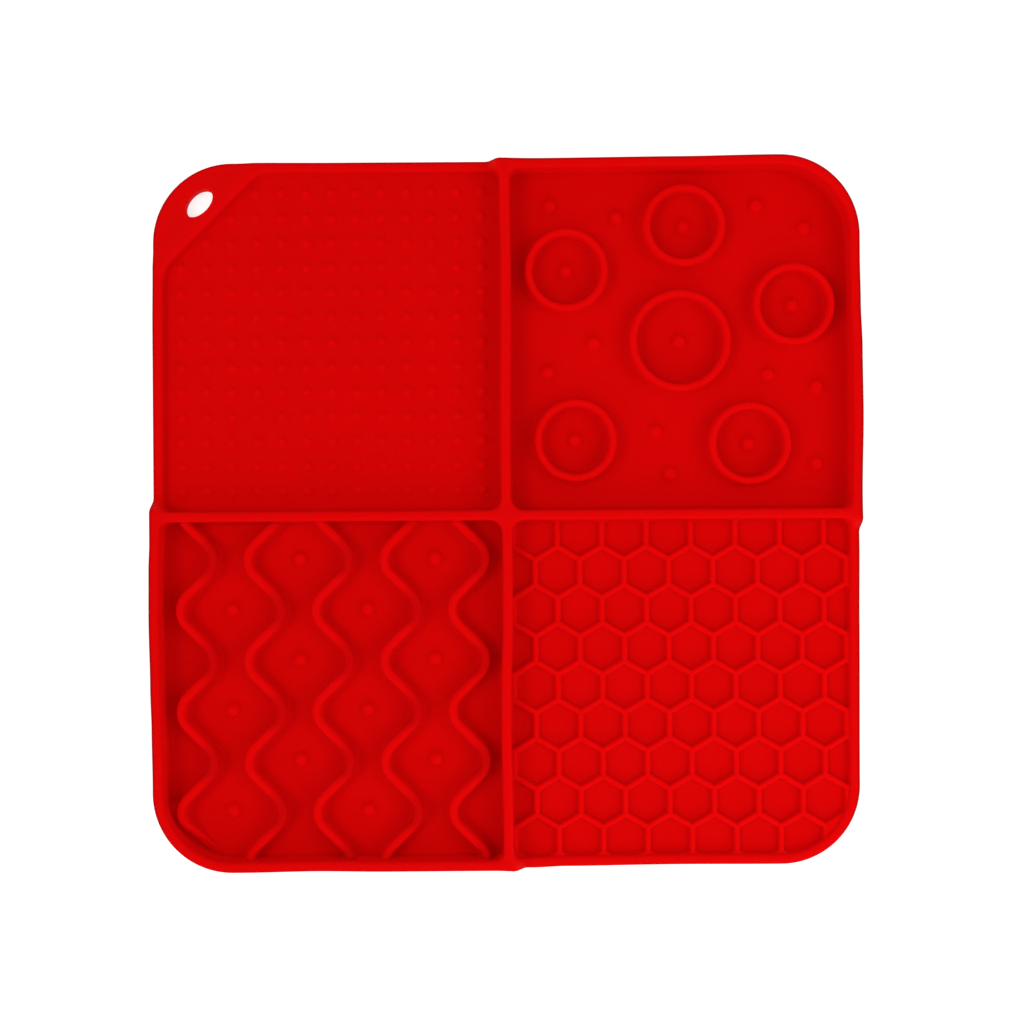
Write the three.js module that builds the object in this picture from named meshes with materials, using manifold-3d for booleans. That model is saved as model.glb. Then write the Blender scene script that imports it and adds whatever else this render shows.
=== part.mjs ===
// A square lick mat for a pet, moulded in one piece from soft red silicone rubber. It lies flat, relief
// upwards, with its underside on z = 0. A rim and a cross of dividers part it into four bays of one floor
// thickness each: small nubs in a square grid at the back left, rings and studs at the back right, wavy
// ribs with studs at the front left, and a honeycomb at the front right. The rims of the nubs' and the
// honeycomb's bays are low, and all the other walls are tall. A solid tab fills the back left corner and
// has a slot to hang by. Sizes are in millimetres. +X is to the right, +Y to the back, +Z up, and the
// origin is under the mat's middle.
import * as THREE from "three";
import { mergeVertices } from "three/addons/utils/BufferGeometryUtils.js";
import Module from "manifold-3d";

// The mat's outer shape.
const HALF_SIDE = 100;
const CORNER_RADIUS = 22.5;
const HEIGHT = 10;
const WALL = 2.8;
const FLOOR_TOP = 2;

// The low rims, and the ramps by which they rise to a divider. The ramp's ends are measured from the
// divider's middle.
const LOW_RIM = { top: 4.5, rampFoot: 5.4, rampHead: 1.7 };

// The bays' corners, in plan.
const CROSS_FILLET = 3.6;
const RIM_FILLET = 2.6;

// The tab lies beyond a line across the back left corner, and a bead runs along that line.
const TAB = { leg: 27.4, fillet: 9, top: 3.6, bead: 2.8 };

// The slot in the tab is an ellipse, longer along the tab's inner edge.
const SLOT = { x: -86.7, y: 88.8, halfLength: 4.7, halfWidth: 2.95, turn: Math.PI / 4 };

// Back left bay: a square grid of nubs, with none where the tab's inner edge cuts the corner off.
const NUB = { pitchX: 7.13, pitchY: 7.08, count: 13, firstX: -92.1, firstY: 91.7, cutOff: 3 };
const NUB_SHAPE = { radius: 1.4, height: 0.8 };

// Back right bay: rings, each with a stud at its middle, and single studs between them.
const RING = { wall: 2.1, top: 7 };
const RINGS = [
  { x: 50.8, y: 81.2, radius: 10.55 },
  { x: 17.5, y: 68.7, radius: 10.7 },
  { x: 49.5, y: 48.6, radius: 13.3 },
  { x: 81.6, y: 58.7, radius: 10.55 },
  { x: 19.8, y: 20.6, radius: 10.6 },
  { x: 69.0, y: 19.5, radius: 10.6 },
];
const STUD = { radius: 2.1, tipRadius: 1, height: 1.5 };
const LONE_STUDS = [
  { x: 13.0, y: 87.3 },
  { x: 31.9, y: 83.9 },
  { x: 71.6, y: 87.1 },
  { x: 85.2, y: 80.6 },
  { x: 25.2, y: 48.3 },
  { x: 12.1, y: 40.0 },
  { x: 74.7, y: 39.1 },
  { x: 88.6, y: 35.5 },
  { x: 42.8, y: 23.1 },
  { x: 46.7, y: 11.0 },
  { x: 88.4, y: 13.6 },
];

// Front left bay: wavy ribs that run from the divider to the front rim, each the mirror of the one beside
// it, with a stud wherever two of them stand furthest apart.
const WAVE = { count: 5, firstX: -87.5, pitch: 19.2, swing: 9.4, firstTurnY: -12.5, halfPeriod: 14.28 };
const WAVE_RIB = { width: 2.2, top: 7.2, backY: -0.6, frontY: -98.6 };
// The first rib runs down into the round corner: from full height at headY to its low end at footY.
const RIB_END = { headY: -84, footY: -94.5, low: 2.5 };

// Front right bay: a honeycomb of low ridges on the floor, its hexagons' flat sides to the left and right.
const CELL = { pitchX: 12.62, pitchY: 10.88, x: 14.45, y: -16.7, wall: 1.5, top: 3.7 };

// How far each side stands out from its nominal line as the soft mat lies. "at" is the place along the side.
const LEFT_SIDE = [
  { at: -75, out: -0.5 },
  { at: -60, out: -0.3 },
  { at: -48, out: 0 },
  { at: -28, out: 0.35 },
  { at: -15, out: 0.27 },
  { at: -7, out: 0 },
  { at: 54, out: 0 },
  { at: 70, out: -0.15 },
];
const RIGHT_SIDE = [
  { at: -76, out: -0.2 },
  { at: -30, out: 0 },
  { at: -10, out: 0.15 },
  { at: 5, out: -0.1 },
  { at: 28, out: 0.32 },
  { at: 46, out: 0.16 },
  { at: 59, out: -0.27 },
  { at: 72, out: -0.46 },
];
const BACK_SIDE = [
  { at: -74, out: 0.05 },
  { at: -47, out: -0.1 },
  { at: -6, out: -0.15 },
  { at: 9, out: -0.45 },
  { at: 49, out: -0.2 },
  { at: 76, out: 0.15 },
];
const FRONT_SIDE = [
  { at: -75, out: 0.05 },
  { at: -54, out: -0.25 },
  { at: -34, out: 0 },
  { at: -4, out: 0 },
  { at: 7, out: 0.4 },
  { at: 16, out: 0.05 },
  { at: 48, out: -0.25 },
  { at: 75, out: -0.15 },
];
// How far the dividers' crossing stands off the middle, and how the front-to-back divider winds to the
// right.
const CROSS = { x: 0.1, y: -0.43 };
const DIVIDER_WIND = [
  { at: -90, out: -0.05 },
  { at: -62, out: -0.45 },
  { at: -48, out: -0.35 },
  { at: -30, out: 0.2 },
  { at: -18, out: 0.2 },
  { at: 20, out: -0.1 },
  { at: 70, out: 0.28 },
  { at: 90, out: 0.12 },
];

// How finely curves and long sides are cut into flats.
const SIDE_STEP = 9;
const OUTER_ARC_STEPS = 10;
const FILLET_STEPS = 3;
const SLOT_STEPS = 20;
const RING_STEPS = 24;
const WAVE_ARC_STEPS = 4;
const STUD_SIDES = 8;
const NUB_SIDES = 6;
// Nubs and studs are turned by this much, so that no edge of one runs on into an edge of the next.
const STUD_TURN = 0.2;
// A point of an outline that stands less than this off the line through its neighbours is left out.
const HAIR = 0.02;
// How far the relief's solids reach down into the floor that they grow from.
const EMBED = 0.5;
// How far what cuts right through runs on past the faces that it cuts.
const PAST = 1;
// Corners of a mesh that are nearer to each other than this are one corner.
const SAME_PLACE = 1e-4;

const wasm = await Module();
wasm.setup();

// The shift of a side at a place along it: eased from row to row, and level past the first and last rows.
function sideShift(rows, at) {
  if (at <= rows[0].at) return rows[0].out;
  for (let i = 1; i < rows.length; i++) {
    if (at <= rows[i].at) {
      const share = (at - rows[i - 1].at) / (rows[i].at - rows[i - 1].at);
      return THREE.MathUtils.lerp(rows[i - 1].out, rows[i].out, share * share * (3 - 2 * share));
    }
  }
  return rows[rows.length - 1].out;
}

// Where a point of the true square mould comes to lie: the dividers' own shift at the middle, the side's at
// the rim.
function lay({ x, y }) {
  const sideX = x < 0 ? -sideShift(LEFT_SIDE, y) : sideShift(RIGHT_SIDE, y);
  const sideY = y < 0 ? -sideShift(FRONT_SIDE, x) : sideShift(BACK_SIDE, x);
  const middleX = CROSS.x + sideShift(DIVIDER_WIND, y);
  const shareX = Math.min(Math.abs(x) / HALF_SIDE, 1);
  const shareY = Math.min(Math.abs(y) / HALF_SIDE, 1);
  return new THREE.Vector2(
    x + THREE.MathUtils.lerp(middleX, sideX, shareX),
    y + THREE.MathUtils.lerp(CROSS.y, sideY, shareY),
  );
}

// A closed three.js geometry as a solid: only the places of its corners are kept, and they are shared.
function solidOf(geometry) {
  const bare = geometry.index ? geometry.toNonIndexed() : geometry.clone();
  bare.deleteAttribute("normal");
  bare.deleteAttribute("uv");
  const merged = mergeVertices(bare, SAME_PLACE);
  return new wasm.Manifold(
    new wasm.Mesh({
      numProp: 3,
      vertProperties: merged.attributes.position.array,
      triVerts: new Uint32Array(merged.index.array),
    }),
  );
}

// Leaves out of a closed outline the points that do nothing for its shape.
function withoutIdlePoints(points) {
  const kept = [];
  points.forEach((point, i) => {
    const before = kept.length ? kept[kept.length - 1] : points[points.length - 1];
    const along = points[(i + 1) % points.length].clone().sub(before).normalize();
    if (Math.abs(along.cross(point.clone().sub(before))) > HAIR) kept.push(point);
  });
  return kept;
}

// A straight-sided block over an outline.
function block(outline, low, high) {
  const shape = new THREE.Shape(withoutIdlePoints(outline));
  const geometry = new THREE.ExtrudeGeometry(shape, { depth: high - low, bevelEnabled: false });
  return solidOf(geometry.translate(0, 0, low));
}

// A bar that runs from left to right, from startX to endX, given its section as points (y, z).
function bar(section, startX, endX) {
  const shape = new THREE.Shape(section.map(([y, z]) => new THREE.Vector2(y, z)));
  const geometry = new THREE.ExtrudeGeometry(shape, { depth: endX - startX, bevelEnabled: false });
  geometry.rotateX(Math.PI / 2).rotateZ(Math.PI / 2);
  return solidOf(geometry.translate(startX, 0, 0));
}

// Points round an arc, both ends included.
function arc(centre, radius, from, to, steps) {
  return Array.from({ length: steps + 1 }, (_, i) => {
    const angle = from + ((to - from) * i) / steps;
    return new THREE.Vector2(centre.x + radius * Math.cos(angle), centre.y + radius * Math.sin(angle));
  });
}

// Cuts of a straight run between two points, its ends left out.
function run(start, end) {
  const cuts = Math.max(1, Math.round(start.distanceTo(end) / SIDE_STEP));
  return Array.from({ length: cuts - 1 }, (_, i) => start.clone().lerp(end, (i + 1) / cuts));
}

// An outline through corners listed anticlockwise, each rounded to its own radius.
function roundedOutline(corners) {
  const arcs = corners.map(({ x, y, radius }, i) => {
    const here = new THREE.Vector2(x, y);
    const before = corners[(i + corners.length - 1) % corners.length];
    const after = corners[(i + 1) % corners.length];
    const toBefore = new THREE.Vector2(before.x, before.y).sub(here).normalize();
    const toAfter = new THREE.Vector2(after.x, after.y).sub(here).normalize();
    const halfAngle = Math.acos(toBefore.dot(toAfter)) / 2;
    const inwards = toBefore.clone().add(toAfter).normalize();
    const centre = here.clone().addScaledVector(inwards, radius / Math.sin(halfAngle));
    const outwards = Math.atan2(-inwards.y, -inwards.x);
    const spread = Math.PI / 2 - halfAngle;
    const steps = radius > TAB.fillet ? OUTER_ARC_STEPS : FILLET_STEPS;
    return arc(centre, radius, outwards - spread, outwards + spread, steps);
  });
  return arcs.flatMap((points, i) => {
    const next = arcs[(i + 1) % arcs.length];
    return [...points, ...run(points[points.length - 1], next[0])];
  });
}

// The mat's own outline, as it lies.
function matOutline() {
  const radius = CORNER_RADIUS;
  const corners = [
    { x: -HALF_SIDE, y: -HALF_SIDE, radius },
    { x: HALF_SIDE, y: -HALF_SIDE, radius },
    { x: HALF_SIDE, y: HALF_SIDE, radius },
    { x: -HALF_SIDE, y: HALF_SIDE, radius },
  ];
  return roundedOutline(corners).map(lay);
}

// A bay's outline, as it lies. sideX and sideY are -1 or 1 and name its quarter of the mat, and outer lists
// its corner or corners at the mat's own corner, in the order in which they are met going round from the
// side rim.
function bayOutline(sideX, sideY, outer) {
  const near = WALL / 2;
  const far = HALF_SIDE - WALL;
  const corners = [
    { x: near, y: near, radius: CROSS_FILLET },
    { x: far, y: near, radius: RIM_FILLET },
    ...outer,
    { x: near, y: far, radius: RIM_FILLET },
  ].map((corner) => ({ ...corner, x: corner.x * sideX, y: corner.y * sideY }));
  return roundedOutline(sideX * sideY > 0 ? corners : corners.reverse()).map(lay);
}

// The four bays' outlines, by what is in them. The nubs' bay gives up its outer corner to the tab.
function bayOutlines() {
  const far = HALF_SIDE - WALL;
  const round = [{ x: far, y: far, radius: CORNER_RADIUS - WALL }];
  const tab = [
    { x: far, y: far - TAB.leg, radius: TAB.fillet },
    { x: far - TAB.leg, y: far, radius: TAB.fillet },
  ];
  return {
    nubs: bayOutline(-1, 1, tab),
    rings: bayOutline(1, 1, round),
    waves: bayOutline(-1, -1, round),
    honeycomb: bayOutline(1, -1, round),
  };
}

// A low cone that stands on the floor, with a flat tip or, where tipRadius is 0, a point. Its radius is the
// one where it meets the floor.
function stud({ x, y }, radius, tipRadius, height, sides) {
  const footRadius = radius + ((radius - tipRadius) * EMBED) / height;
  const cone = new THREE.CylinderGeometry(tipRadius, footRadius, height + EMBED, sides, 1, false, STUD_TURN);
  return solidOf(cone.rotateX(Math.PI / 2).translate(x, y, FLOOR_TOP + (height - EMBED) / 2));
}

// The grid of nubs.
function nubs() {
  const made = [];
  for (let row = 0; row < NUB.count; row++) {
    for (let column = 0; column < NUB.count; column++) {
      if (row + column < NUB.cutOff) continue;
      const place = { x: NUB.firstX + NUB.pitchX * column, y: NUB.firstY - NUB.pitchY * row };
      made.push(stud(place, NUB_SHAPE.radius, 0, NUB_SHAPE.height, NUB_SIDES));
    }
  }
  return made;
}

// A stud of the larger kind.
function largeStud(place) {
  return stud(place, STUD.radius, STUD.tipRadius, STUD.height, STUD_SIDES);
}

// The rings, turned from a square section, with a stud in each and the single studs between them.
function ringsAndStuds() {
  const rings = RINGS.map(({ x, y, radius }) => {
    const inner = radius - RING.wall / 2;
    const outer = radius + RING.wall / 2;
    const low = FLOOR_TOP - EMBED;
    const section = [
      new THREE.Vector2(inner, low),
      new THREE.Vector2(outer, low),
      new THREE.Vector2(outer, RING.top),
      new THREE.Vector2(inner, RING.top),
      new THREE.Vector2(inner, low),
    ];
    const ring = new THREE.LatheGeometry(section, RING_STEPS);
    return solidOf(ring.rotateX(Math.PI / 2).translate(x, y, 0));
  });
  return [...rings, ...RINGS.map(largeStud), ...LONE_STUDS.map(largeStud)];
}

// The middle line of a wavy rib: level at each turn, with quarter arcs there and straight runs at 45 degrees
// between them. side is 1 where the first turn, the one nearest the divider, is to the right.
function waveLine(middleX, side) {
  const quarter = Math.PI / 4;
  const bend = (WAVE.halfPeriod - WAVE.swing) / (2 * (2 * Math.sin(quarter) - 1));
  const points = [];
  for (let turn = -1; ; turn++) {
    const way = turn % 2 === 0 ? side : -side;
    const y = WAVE.firstTurnY - WAVE.halfPeriod * turn;
    const centre = { x: middleX + way * (WAVE.swing / 2 - bend), y };
    const round = arc(centre, bend, quarter, -quarter, WAVE_ARC_STEPS);
    round.forEach((p) => p.set(centre.x + way * (p.x - centre.x), p.y));
    points.push(...round);
    if (y < WAVE_RIB.frontY) return points;
  }
}

// A wavy rib of even width about its middle line, cut off inside the divider and inside the front rim.
function waveRib(middleX, side) {
  const line = waveLine(middleX, side);
  const sideways = line.map((_, i) => {
    const before = line[Math.max(i - 1, 0)];
    const after = line[Math.min(i + 1, line.length - 1)];
    const along = after.clone().sub(before).normalize();
    return new THREE.Vector2(-along.y, along.x).multiplyScalar(WAVE_RIB.width / 2);
  });
  const left = line.map((p, i) => p.clone().add(sideways[i]));
  const right = line.map((p, i) => p.clone().sub(sideways[i])).reverse();
  const { backY, frontY } = WAVE_RIB;
  const kept = bar([[frontY, 0], [backY, 0], [backY, HEIGHT], [frontY, HEIGHT]], -HALF_SIDE, 0);
  return block([...right, ...left], FLOOR_TOP - EMBED, WAVE_RIB.top).intersect(kept);
}

// What is cut off over the end of the rib that runs into the round corner.
function aboveRibEnd() {
  const { headY, footY, low } = RIB_END;
  const section = [
    [headY, WAVE_RIB.top],
    [headY, HEIGHT],
    [-HALF_SIDE, HEIGHT],
    [-HALF_SIDE, low],
    [footY, low],
  ];
  return bar(section, -HALF_SIDE, WAVE.firstX + WAVE.swing);
}

// The wavy ribs, and the studs in the wide places between them.
function wavesAndStuds() {
  const made = [];
  for (let i = 0; i < WAVE.count; i++) {
    const side = i % 2 === 0 ? 1 : -1;
    const rib = waveRib(WAVE.firstX + WAVE.pitch * i, side);
    made.push(i === 0 ? rib.subtract(aboveRibEnd()) : rib);
  }
  const rows = Math.floor((-HALF_SIDE - WAVE.firstTurnY) / -WAVE.halfPeriod);
  for (let gap = 0; gap < WAVE.count - 1; gap++) {
    for (let row = 0; row < rows; row++) {
      if ((gap + row) % 2 === 0) continue;
      const x = WAVE.firstX + WAVE.pitch * (gap + 0.5);
      made.push(largeStud({ x, y: WAVE.firstTurnY - WAVE.halfPeriod * row }));
    }
  }
  return made;
}

// The honeycomb's pockets, each a hexagon less half a ridge all round, cut off at the bay's outline. A
// pocket whose middle is outside the bay is left out.
function honeycombPockets(outline) {
  const shrink = 1 - CELL.wall / CELL.pitchX;
  const halfX = (CELL.pitchX / 2) * shrink;
  const pointY = ((CELL.pitchY * 2) / 3) * shrink;
  const reach = Math.ceil(HALF_SIDE / CELL.pitchY);
  const bend = HALF_SIDE - CORNER_RADIUS;
  const pockets = [];
  for (let row = -reach; row <= reach; row++) {
    for (let column = -reach; column <= reach; column++) {
      const x = CELL.x + CELL.pitchX * (column + (row % 2 ? 0.5 : 0));
      const y = CELL.y + CELL.pitchY * row;
      const pastBend = Math.hypot(Math.max(x - bend, 0), Math.max(-y - bend, 0));
      if (x < 0 || y > 0 || pastBend > CORNER_RADIUS - WALL) continue;
      const corners = [
        [halfX, -pointY / 2],
        [halfX, pointY / 2],
        [0, pointY],
        [-halfX, pointY / 2],
        [-halfX, -pointY / 2],
        [0, -pointY],
      ];
      const hexagon = corners.map(([dx, dy]) => new THREE.Vector2(x + dx, y + dy));
      pockets.push(block(hexagon, FLOOR_TOP, CELL.top + EMBED));
    }
  }
  return wasm.Manifold.union(pockets).intersect(block(outline, 0, HEIGHT));
}

// The slot through the tab.
function slot() {
  const outline = arc({ x: 0, y: 0 }, 1, 0, 2 * Math.PI, SLOT_STEPS)
    .slice(0, -1)
    .map((p) => new THREE.Vector2(p.x * SLOT.halfLength, p.y * SLOT.halfWidth))
    .map((p) => p.rotateAround(new THREE.Vector2(), SLOT.turn).add(new THREE.Vector2(SLOT.x, SLOT.y)));
  return block(outline, -PAST, HEIGHT + PAST);
}

// What is cut off the tall walls to leave a low rim round one quarter of the mat. It is all that stands
// over the low rim's top, as far as the ramps. quarterTurns is 0 for the back right quarter and counts
// anticlockwise.
function aboveLowRim(quarterTurns) {
  const far = HALF_SIDE + WALL;
  const { top, rampFoot, rampHead } = LOW_RIM;
  const over = (rampFoot - rampHead) / (HEIGHT - top);
  const section = [[rampFoot, top], [far, top], [far, HEIGHT + PAST], [rampHead - over, HEIGHT + PAST]];
  const toTheBack = bar(section, -far, far);
  const toTheRight = toTheBack.rotate([0, 0, -90]);
  const corner = toTheBack.intersect(toTheRight).rotate([0, 0, 90 * quarterTurns]);
  return corner.translate([CROSS.x, CROSS.y, 0]);
}

// What is cut off over the tab, as far as the outer edge of the bead that runs along the tab's line. Its own
// corner is two walls outside the bay's corner each way, so its legs are longer by four walls.
function aboveTab() {
  const far = HALF_SIDE + WALL;
  const leg = TAB.leg - Math.SQRT2 * TAB.bead + 4 * WALL;
  const corners = [
    [-far, far - leg],
    [leg - far, far],
    [-far, far],
  ];
  return block(corners.map(([x, y]) => new THREE.Vector2(x, y)), TAB.top, HEIGHT + PAST);
}

// The whole mat as one solid.
function matSolid() {
  const bays = bayOutlines();
  let solid = block(matOutline(), 0, HEIGHT);
  for (const outline of [bays.nubs, bays.rings, bays.waves]) {
    solid = solid.subtract(block(outline, FLOOR_TOP, HEIGHT + PAST));
  }
  solid = solid.subtract(block(bays.honeycomb, CELL.top, HEIGHT + PAST));
  solid = solid.subtract(honeycombPockets(bays.honeycomb));
  solid = solid.subtract(aboveLowRim(1)).subtract(aboveLowRim(3)).subtract(aboveTab());
  solid = wasm.Manifold.union([solid, ...nubs(), ...ringsAndStuds(), ...wavesAndStuds()]);
  return solid.subtract(slot());
}

// A solid as a three.js geometry.
function geometryOf(solid) {
  const { vertProperties, triVerts } = solid.getMesh();
  return new THREE.BufferGeometry()
    .setAttribute("position", new THREE.BufferAttribute(vertProperties, 3))
    .setIndex(new THREE.BufferAttribute(triVerts, 1))
    .toNonIndexed();
}

const silicone = new THREE.MeshStandardMaterial({ color: 0xd40000, roughness: 0.55, metalness: 0 });
const geometry = geometryOf(matSolid());
geometry.computeVertexNormals();
const mat = new THREE.Mesh(geometry, silicone);
mat.name = "mat";

const lickMat = new THREE.Group();
lickMat.name = "lick_mat";
lickMat.add(mat);

export default lickMat;
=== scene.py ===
"""Builds the looks of a square silicone lick mat that lies flat, relief upwards, and the studio round it.

The mat is one moulded skin. Its upper face is a height above the table for each place in plan, and the mesh
follows every wall, ring, rib, ridge, stud and nub with rows of points of its own. All sizes are in
millimetres until a mesh is made, and then in metres.
"""

import logging
import math
from collections.abc import Callable
from dataclasses import dataclass
from enum import Enum

import bpy
import numpy as np
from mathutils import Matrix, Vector
from mathutils.geometry import delaunay_2d_cdt


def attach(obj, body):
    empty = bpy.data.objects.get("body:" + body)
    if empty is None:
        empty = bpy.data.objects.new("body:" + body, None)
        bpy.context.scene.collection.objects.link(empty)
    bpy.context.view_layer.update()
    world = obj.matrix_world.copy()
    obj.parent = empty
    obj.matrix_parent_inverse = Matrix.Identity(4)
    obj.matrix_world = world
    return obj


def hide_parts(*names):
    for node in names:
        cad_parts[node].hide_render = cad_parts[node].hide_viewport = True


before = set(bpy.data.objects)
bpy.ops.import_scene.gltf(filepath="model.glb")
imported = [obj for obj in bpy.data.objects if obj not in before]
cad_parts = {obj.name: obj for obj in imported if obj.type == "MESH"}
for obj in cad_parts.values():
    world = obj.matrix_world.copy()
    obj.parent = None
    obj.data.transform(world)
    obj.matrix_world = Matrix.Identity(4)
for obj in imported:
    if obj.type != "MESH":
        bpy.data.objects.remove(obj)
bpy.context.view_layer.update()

log = logging.getLogger("lick_mat")

METRES = 0.001
ROOT_BODY = "root"
PAINTED_SHADE = "painted_shade"
# A corner whose radius is under SHARP is one point, and points nearer to each other than SAME_PLACE are one.
SHARP = 0.02
SAME_PLACE = 1e-4
# A triangle's area or a fillet's size under this counts as none.
NOTHING = 1e-6
Table = tuple[tuple[float, ...], ...]
Colour = tuple[float, float, float, float]
Test = Callable[[np.ndarray], np.ndarray]
WHITE: Colour = (1.0, 1.0, 1.0, 1.0)
# The signs of a square's corners, anticlockwise from the front left.
SQUARE = ((-1, -1), (1, -1), (1, 1), (-1, 1))


def ease(share: np.ndarray) -> np.ndarray:
    """Eases a share, held between 0 and 1: three times its square less twice its cube, level at both ends."""
    held = np.clip(share, 0.0, 1.0)
    return held * held * (3.0 - 2.0 * held)


def eased_rows(rows: Table, at: np.ndarray) -> np.ndarray:
    """Reads a table of (place, value) rows, eased from row to row and level past its ends.

    Args:
        rows: The table, its places rising.
        at: The places to read it at.

    Returns:
        The values.
    """
    places, values = np.array(rows, dtype=float).T
    after = np.clip(np.searchsorted(places, at), 1, len(places) - 1)
    share = ease((at - places[after - 1]) / (places[after] - places[after - 1]))
    return values[after - 1] + (values[after] - values[after - 1]) * share


def circle(count: int, turn: float = 0.0) -> np.ndarray:
    """Gives points evenly round a circle of radius 1, the first of them at the angle turn."""
    angles = turn + 2 * math.pi * np.arange(count) / count
    return np.stack([np.cos(angles), np.sin(angles)], axis=1)


def distances(points: np.ndarray, place: np.ndarray) -> np.ndarray:
    """Gives the distances of points from a place."""
    return np.hypot(points[:, 0] - place[0], points[:, 1] - place[1])


def set_inputs(node: bpy.types.Node, values: dict[str, object]) -> None:
    """Sets a node's inputs to constants, by their names."""
    for name, value in values.items():
        node.inputs[name].default_value = value


@dataclass(frozen=True)
class Lie:
    """How the soft mat lies, a little off the true square of its mould.

    Each row of a side is (place along the side, how far the side stands out there). The dividers are moved by
    cross, and the one along y winds besides, by rows of (y, how far to the right).
    """

    half_side: float = 100.0
    left: Table = (
        (-75, -0.5), (-60, -0.3), (-48, 0), (-28, 0.35), (-15, 0.27), (-7, 0), (54, 0), (70, -0.15),
    )
    right: Table = (
        (-76, -0.2), (-30, 0), (-10, 0.15), (5, -0.1), (28, 0.32), (46, 0.16), (59, -0.27), (72, -0.46),
    )
    back: Table = ((-74, 0.05), (-47, -0.1), (-6, -0.15), (9, -0.45), (49, -0.2), (76, 0.15))
    front: Table = (
        (-75, 0.05), (-54, -0.25), (-34, 0), (-4, 0), (7, 0.4), (16, 0.05), (48, -0.25), (75, -0.15),
    )
    cross: tuple[float, float] = (0.1, -0.43)
    wind: Table = (
        (-90, -0.05), (-62, -0.45), (-48, -0.35), (-30, 0.2), (-18, 0.2), (20, -0.1), (70, 0.28), (90, 0.12),
    )

    def shift(self, points: np.ndarray) -> np.ndarray:
        """Gives how far places of the mould lie off themselves.

        It is the dividers' shift at the middle and the sides' shift at the rim, and evenly between them.

        Args:
            points: Places in the mould, n by 2.

        Returns:
            Their shifts, n by 2.
        """
        x, y = points[:, 0], points[:, 1]
        side_x = np.where(x < 0, -eased_rows(self.left, y), eased_rows(self.right, y))
        side_y = np.where(y < 0, -eased_rows(self.front, x), eased_rows(self.back, x))
        middle_x = self.cross[0] + eased_rows(self.wind, y)
        share_x = np.minimum(np.abs(x) / self.half_side, 1.0)
        share_y = np.minimum(np.abs(y) / self.half_side, 1.0)
        shift_x = middle_x + (side_x - middle_x) * share_x
        shift_y = self.cross[1] + (side_y - self.cross[1]) * share_y
        return np.stack([shift_x, shift_y], axis=1)

    def lay(self, points: np.ndarray) -> np.ndarray:
        """Moves places of the mould to where they lie."""
        return points + self.shift(points)

    def unlay(self, points: np.ndarray) -> np.ndarray:
        """Finds the mould's places of points as they lie, in two rounds, as the shifts are small."""
        return points - self.shift(points - self.shift(points))


@dataclass(frozen=True)
class RoundedShape:
    """A closed outline of straight sides with rounded corners, all turning left: rows of (x, y, radius)."""

    corners: Table

    def _frame(self) -> tuple[np.ndarray, ...]:
        """Works out how the outline runs at its corners.

        Returns:
            Each corner's place, radius, direction in, direction out and half angle, and the step along its
            bisector by which an arc's centre moves for each millimetre of radius.
        """
        rows = np.array(self.corners, dtype=float)
        places, radii = rows[:, :2], rows[:, 2]
        out = np.roll(places, -1, axis=0) - places
        out /= np.linalg.norm(out, axis=1, keepdims=True)
        into = np.roll(out, 1, axis=0)
        half = np.arccos(np.clip(-(into * out).sum(axis=1), -1, 1)) / 2
        inwards = (out - into) / np.linalg.norm(out - into, axis=1, keepdims=True)
        return places, radii, into, out, half, inwards / np.sin(half)[:, None]

    def loop(self, inset: float, step: float, arc_step: float) -> np.ndarray:
        """Gives evenly cut points round the outline, moved inwards.

        Rows of all insets are cut at the same places. A corner's arc keeps its centre and loses the inset
        from its radius, and a corner whose radius is used up is one sharp point, where the moved sides meet.

        Args:
            inset: How far inwards, or outwards if negative.
            step: The rough length of a cut on the straight sides.
            arc_step: The rough length of a cut on the arcs.

        Returns:
            The points, n by 2.
        """
        places, radii, into, _, half, to_centre = self._frame()
        centres = places + to_centre * np.maximum(radii, inset)[:, None]
        tangents = radii / np.tan(half)
        arcs = []
        for i in range(len(places)):
            radius = max(radii[i] - inset, 0.0)
            start = math.atan2(-into[i, 0], into[i, 1])
            turn = math.pi - 2 * half[i]
            cuts = max(2, math.ceil(radii[i] * turn / arc_step)) if radius > SHARP else 0
            angles = start + turn * (np.linspace(0, 1, cuts + 1) if cuts else np.array([0.5]))
            arcs.append(centres[i] + radius * np.stack([np.cos(angles), np.sin(angles)], axis=1))
        parts = []
        for i, arc in enumerate(arcs):
            after = (i + 1) % len(arcs)
            length = np.linalg.norm(places[after] - places[i]) - tangents[i] - tangents[after]
            cuts = max(1, round(length / step))
            share = (np.arange(1, cuts) / cuts)[:, None]
            parts += [arc, arc[-1] + (arcs[after][0] - arc[-1]) * share]
        return np.concatenate(parts)

    def depth(self, points: np.ndarray) -> np.ndarray:
        """Gives how far inside the outline points are.

        It is the least distance to a side, or at a corner to its arc.

        Args:
            points: Places, n by 2.

        Returns:
            Their depths, negative outside.
        """
        places, radii, into, out, _, to_centre = self._frame()
        normals = np.stack([-out[:, 1], out[:, 0]], axis=1)
        depth = np.min([(points - place) @ normal for place, normal in zip(places, normals)], axis=0)
        for i, centre in enumerate(places + to_centre * radii[:, None]):
            away = points - centre
            at_corner = (away @ into[i] > 0) & (away @ out[i] < 0)
            depth = np.where(at_corner, radii[i] - np.linalg.norm(away, axis=1), depth)
        return depth


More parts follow.
